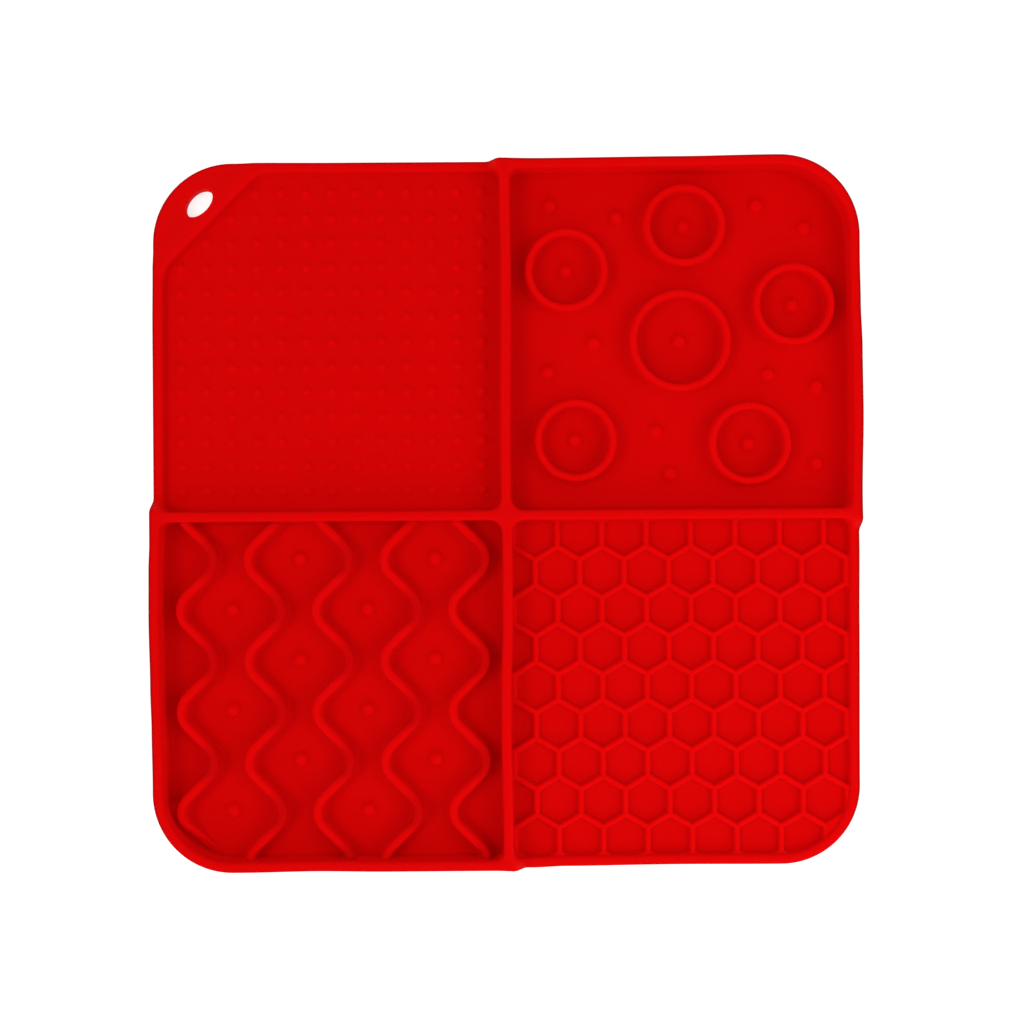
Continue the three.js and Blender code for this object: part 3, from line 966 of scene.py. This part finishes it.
@dataclass(frozen=True)
class LickMat:
    """The whole mat: one closed skin over its walls, bays, tab and underside.

    Its outer edge is painted darker than the rest, which is painted shade: each row of edge_painted_shade is
    (y, how much painted shade there is there), and edge_shares are the shares of that on the edge's first
    rows of mesh points, from the crest outwards. The gaps are the least distances of a kind of mesh rows from
    earlier ones, and the margins those from an edge.
    """

    lie: Lie = Lie()
    walls: Walls = Walls()
    nubs: NubGrid = NubGrid()
    rings: RingField = RingField()
    waves: WaveField = WaveField()
    honeycomb: Honeycomb = Honeycomb()
    slot: Slot = Slot()
    finish: MattSilicone = MattSilicone()
    edge: float = 0.45
    over_angles: tuple[float, ...] = (30.0, 60.0, 90.0)
    edge_painted_shade: Table = ((-99.0, 0.25), (-80.0, 0.85), (80.0, 0.85), (99.0, 0.65))
    edge_shares: tuple[float, ...] = (0.4, 1.0, 1.0)
    under_edge: float = 0.3
    under_angles: tuple[float, ...] = (90.0, 45.0, 0.0)
    under_margin: float = 0.6
    blend: float = 0.7
    relief_reach: float = 0.7
    rim_arc_step: float = 1.1
    floor_step: float = 2.3
    near_edge: float = 3.0
    slot_slack: float = 0.98
    crest_gap: float = 0.45
    relief_gap: float = 0.22
    foot_gap: float = 0.3
    crest_margin: float = 0.4
    floor_margin: float = 1.0
    bank_margin: float = 4.0
    bank_cell: float = 0.1

    def height(self, points: np.ndarray) -> np.ndarray:
        """Gives the upper face's height over the table: the floor, and on it the higher of wall and relief.

        Wall and relief run into each other by a fillet of the size blend where they are equally high.

        Args:
            points: Places on the mat as it lies.

        Returns:
            The heights.
        """
        mould = self.lie.unlay(points)
        wall, depth = self.walls.height(mould), self.walls.depth(mould)
        relief = np.zeros(len(points))
        comb_bay = self.walls.bay(Quarter.HONEYCOMB)
        makers = {
            Quarter.NUBS: lambda here: self.nubs.height(points[here]),
            Quarter.RINGS: lambda here: self.rings.height(points[here]),
            Quarter.WAVES: lambda here: self.waves.height(points[here], depth[here]),
            Quarter.HONEYCOMB: lambda here: self.honeycomb.height(points[here], comb_bay),
        }
        for quarter, make in makers.items():
            here = quarter.holds(mould) & (depth > -self.relief_reach)
            relief[here] = make(here)
        blend = np.minimum(self.blend, 2 * np.minimum(wall, relief))
        near = np.maximum(blend - np.abs(wall - relief), 0.0)
        lift = np.where(blend > NOTHING, near**2 / (4 * np.maximum(blend, NOTHING)), 0.0)
        return self.walls.floor + np.maximum(wall, relief) + lift

    def painted_shade(self, points: np.ndarray) -> np.ndarray:
        """Gives the painted shade on the upper face, from 0 to 1, which is only on the wavy ribs."""
        mould = self.lie.unlay(points)
        return self.waves.painted_shade(points) * (Quarter.WAVES.holds(mould) & (self.walls.depth(mould) > 0))

    def _inside(self, margin: float) -> Test:
        """Makes a test of which points are inside the edge by a margin, and outside the slot by as much."""
        depth = self.walls.outline().depth
        return lambda points: (depth(self.lie.unlay(points)) > margin) & self.slot.outside(points, margin)

    def _in_bay(self, quarter: Quarter) -> Test:
        """Makes a test of which points are in a bay, clear of its walls' flanks."""
        bay = self.walls.bay(quarter)
        return lambda points: bay.depth(self.lie.unlay(points)) > self.walls.section.draft

    def _laid(self, rows: list[Row]) -> list[Row]:
        """Moves rows of the mould to where they lie."""
        return [Row(self.lie.lay(row.points), row.closed) for row in rows]

    def _rims(self, inset: float) -> tuple[np.ndarray, np.ndarray]:
        """Gives the mat's outer edge and the slot's edge as they lie, moved into the silicone by inset."""
        outer = self.walls.outline().loop(inset, self.walls.step, self.rim_arc_step)
        return self.lie.lay(outer), self.slot.loop(inset)

    def _between_rims(self, points: np.ndarray, inset: float) -> np.ndarray:
        """Tells which points are between the two rims, counting crossings of the outer one to the right.

        Args:
            points: Places on the mat.
            inset: How far both rims are moved into the silicone.

        Returns:
            True for each point inside the outer rim and outside the slot's.
        """
        outer = self._rims(inset)[0]
        kept = self.slot.outside(points, inset * self.slot_slack)
        near_rim = np.flatnonzero(self.walls.outline().depth(self.lie.unlay(points)) < self.near_edge)
        x, y = points[near_rim].T
        odd = np.zeros(len(near_rim), dtype=bool)
        for (x0, y0), (x1, y1) in zip(outer, np.roll(outer, -1, axis=0)):
            if y0 != y1:
                odd ^= ((y0 > y) != (y1 > y)) & (x < x0 + (y - y0) * (x1 - x0) / (y1 - y0))
        kept[near_rim] &= odd
        return kept

    def upper_face(self) -> tuple[np.ndarray, np.ndarray, list[np.ndarray]]:
        """Makes the upper face out to where its outer edges begin to round over.

        Returns:
            Its points, its triangles, and the point numbers of its outer edge and of the slot's edge.
        """
        bank = PointBank(self.walls.half_side + self.bank_margin, self.bank_cell)
        rims = self._rims(self.edge)
        bank.add([Row(rim) for rim in rims], 0, everywhere)
        bank.add(self._laid(self.walls.edge_rows()), 0, everywhere)
        on_crest = self._inside(self.edge + self.crest_margin)
        bank.add(self._laid(self.walls.crest_rows()), self.crest_gap, on_crest)
        relief = {
            Quarter.WAVES: self.waves.rows(),
            Quarter.RINGS: self.rings.rows(),
            Quarter.HONEYCOMB: self.honeycomb.rows(self.walls.bay(Quarter.HONEYCOMB)),
            Quarter.NUBS: self.nubs.rows(),
        }
        for quarter, rows in relief.items():
            bank.add(rows, self.relief_gap, self._in_bay(quarter))
        bank.add(self._laid(self.walls.foot_rows()), self.foot_gap, everywhere)
        ticks = np.arange(-self.walls.half_side, self.walls.half_side, self.floor_step)
        grid = np.stack(np.meshgrid(ticks, ticks), axis=-1).reshape(-1, 2)
        on_floor = self._inside(self.edge + self.floor_margin)
        bank.add([Row(grid, joined=False)], self.floor_step / 2, on_floor)
        places, faces, new_number = triangulate(np.concatenate(bank.points), np.concatenate(bank.edges))
        faces = faces[self._between_rims(places[faces].mean(axis=1), self.edge)]
        numbers = np.split(new_number[: len(rims[0]) + len(rims[1])], [len(rims[0])])
        return np.column_stack([places, self.height(places)]), faces, numbers

    def _edge_profile(self, top: np.ndarray) -> list[tuple[float, np.ndarray]]:
        """Gives the rows of an edge: a quarter circle over, straight down, and a small quarter under.

        Args:
            top: The upper face's heights along the edge.

        Returns:
            Each row's inset and heights, from the top down and then inwards under the mat.
        """
        quarters = ((self.edge, self.over_angles, top, -1), (self.under_edge, self.under_angles, 0 * top, 1))
        rows = [
            (radius * (1 - math.sin(angle)), level + way * radius * (1 - math.cos(angle)))
            for radius, angles, level, way in quarters
            for angle in np.radians(angles)
        ]
        return [*rows, (self.under_edge + self.under_margin, 0 * top)]

    def skin(self) -> tuple[np.ndarray, np.ndarray, np.ndarray]:
        """Makes the whole closed skin: upper face, outer edge, slot and underside.

        Returns:
            The points, the triangles and each point's painted shade.
        """
        points, faces, rims = self.upper_face()
        parts, shells, feet, edge_rows, total = [points], [faces], [], [], len(points)
        for which, rim in enumerate(rims):
            previous = rim
            for inset, heights in self._edge_profile(points[rim, 2]):
                edge_rows.append(previous)
                plan = self._rims(inset)[which]
                row = total + np.arange(len(plan))
                parts.append(np.column_stack([plan, heights]))
                shells.append(band(row, previous) if which else band(previous, row))
                previous, total = row, total + len(plan)
            feet.append((previous, plan))
        flat = np.concatenate([plan for _, plan in feet])
        numbers = np.concatenate([row for row, _ in feet])
        own = np.split(np.arange(len(flat)), [len(feet[0][1])])
        edges = np.concatenate([np.stack([loop, np.roll(loop, -1)], axis=1) for loop in own])
        places, base, new_number = triangulate(flat, edges)
        base = base[self._between_rims(places[base].mean(axis=1), self.under_edge + self.under_margin)]
        old = np.empty(len(places), dtype=int)
        old[new_number] = numbers
        shells.append(old[base][:, ::-1])
        skin = np.concatenate(parts)
        painted_shade = np.zeros(len(skin))
        painted_shade[: len(points)] = self.painted_shade(points[:, :2])
        # The outer edge's rows come before the slot's, so the first ones are the outer edge's upper ones.
        # Painted shade: the outer edge's upper rows are darkened, least towards the front.
        for share, row in zip(self.edge_shares, edge_rows):
            painted_shade[row] = share * eased_rows(self.edge_painted_shade, skin[row, 1])
        return skin, np.concatenate(shells), painted_shade

    def build(self) -> None:
        """Builds the mat's one piece and dresses it."""
        points, faces, painted_shade = self.skin()
        mesh = bpy.data.meshes.new("lick_mat_skin")
        mesh.from_pydata((points * METRES).tolist(), [], faces.tolist())
        mesh.validate()
        mesh.shade_smooth()
        # The painted shade goes on the mesh as a point attribute, which the finish reads.
        mesh.attributes.new(PAINTED_SHADE, "FLOAT", "POINT").data.foreach_set("value", painted_shade.astype(np.float32))
        piece = bpy.data.objects.new("lick_mat_skin", mesh)
        bpy.context.scene.collection.objects.link(piece)
        mesh.materials.append(self.finish.make())
        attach(piece, ROOT_BODY)
        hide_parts("mat")
        log.info("mat skin: %d points, %d triangles", len(points), len(faces))


@dataclass(frozen=True)
class Softbox:
    """A square soft light that faces the mat's middle.

    Its bearing is anticlockwise from the right and its elevation over the table, both in degrees.
    """

    name: str
    bearing: float
    elevation: float
    distance: float
    size: float
    power: float

    def hang(self) -> None:
        """Hangs the softbox in the scene."""
        light = bpy.data.lights.new(self.name, "AREA")
        light.energy = self.power
        light.size = self.size
        lamp = bpy.data.objects.new(self.name, light)
        bearing, elevation = math.radians(self.bearing), math.radians(self.elevation)
        level = math.cos(elevation)
        towards = Vector((level * math.cos(bearing), level * math.sin(bearing), math.sin(elevation)))
        lamp.location = towards * self.distance
        lamp.rotation_euler = towards.to_track_quat("Z", "Y").to_euler()
        bpy.context.scene.collection.objects.link(lamp)


@dataclass(frozen=True)
class Studio:
    """The plain white floor, the white surroundings, four soft lights and the camera straight above.

    Its sizes are in metres. The camera takes in frame_width at frame_distance.
    """

    lights: tuple[Softbox, ...] = (
        Softbox("left_softbox", bearing=180.0, elevation=55.0, distance=1.5, size=0.5, power=5.9),
        Softbox("front_left_softbox", bearing=-135.0, elevation=25.0, distance=1.5, size=0.5, power=2.2),
        Softbox("right_softbox", bearing=0.0, elevation=45.0, distance=0.6, size=0.3, power=0.82),
        Softbox("front_right_softbox", bearing=-60.0, elevation=25.0, distance=0.35, size=0.25, power=0.3),
    )
    surroundings: float = 0.73
    floor_half: float = 1.5
    floor_below: float = 0.0002
    floor_white: float = 0.45
    floor_roughness: float = 0.9
    floor_glow: float = 0.7
    camera_place: tuple[float, float, float] = (0.00165, 0.00048, 0.43)
    camera_roll: float = -0.00709
    frame_width: float = 0.28639
    frame_distance: float = 0.42
    sensor: float = 36.0

    def build(self) -> None:
        """Builds the floor, the lights, the surroundings and the camera."""
        scene = bpy.context.scene
        scene.view_settings.view_transform = "Standard"
        self._floor()
        for light in self.lights:
            light.hang()
        world = bpy.data.worlds.new("studio_surroundings")
        world.use_nodes = True
        set_inputs(world.node_tree.nodes["Background"], {"Color": WHITE, "Strength": self.surroundings})
        scene.world = world
        lens = bpy.data.cameras.new("camera_above")
        lens.sensor_width = self.sensor
        lens.lens = self.sensor * self.frame_distance / self.frame_width
        camera = bpy.data.objects.new("camera_above", lens)
        camera.location = self.camera_place
        camera.rotation_euler = (0.0, 0.0, self.camera_roll)
        scene.collection.objects.link(camera)
        scene.camera = camera

    def _floor(self) -> None:
        """Lays the floor, a plain white square just under the mat, lit of itself so that it stays white."""
        mesh = bpy.data.meshes.new("studio_floor")
        corners = [(x * self.floor_half, y * self.floor_half, 0.0) for x, y in SQUARE]
        mesh.from_pydata(corners, [], [(0, 1, 2, 3)])
        white = bpy.data.materials.new("white_paper")
        white.use_nodes = True
        constants = {
            "Base Color": (self.floor_white, self.floor_white, self.floor_white, 1.0),
            "Roughness": self.floor_roughness,
            "Specular IOR Level": 0.0,
            "Emission Color": WHITE,
            "Emission Strength": self.floor_glow,
        }
        set_inputs(white.node_tree.nodes["Principled BSDF"], constants)
        mesh.materials.append(white)
        floor = bpy.data.objects.new("studio_floor", mesh)
        floor.location = (0.0, 0.0, -self.floor_below)
        bpy.context.scene.collection.objects.link(floor)


def main() -> None:
    """Builds the mat and the studio."""
    logging.basicConfig(level=logging.INFO, format="%(name)s: %(message)s")
    LickMat().build()
    Studio().build()
    bpy.context.view_layer.update()
    log.info("studio and sizes: done")


if __name__ == "__main__":
    main()
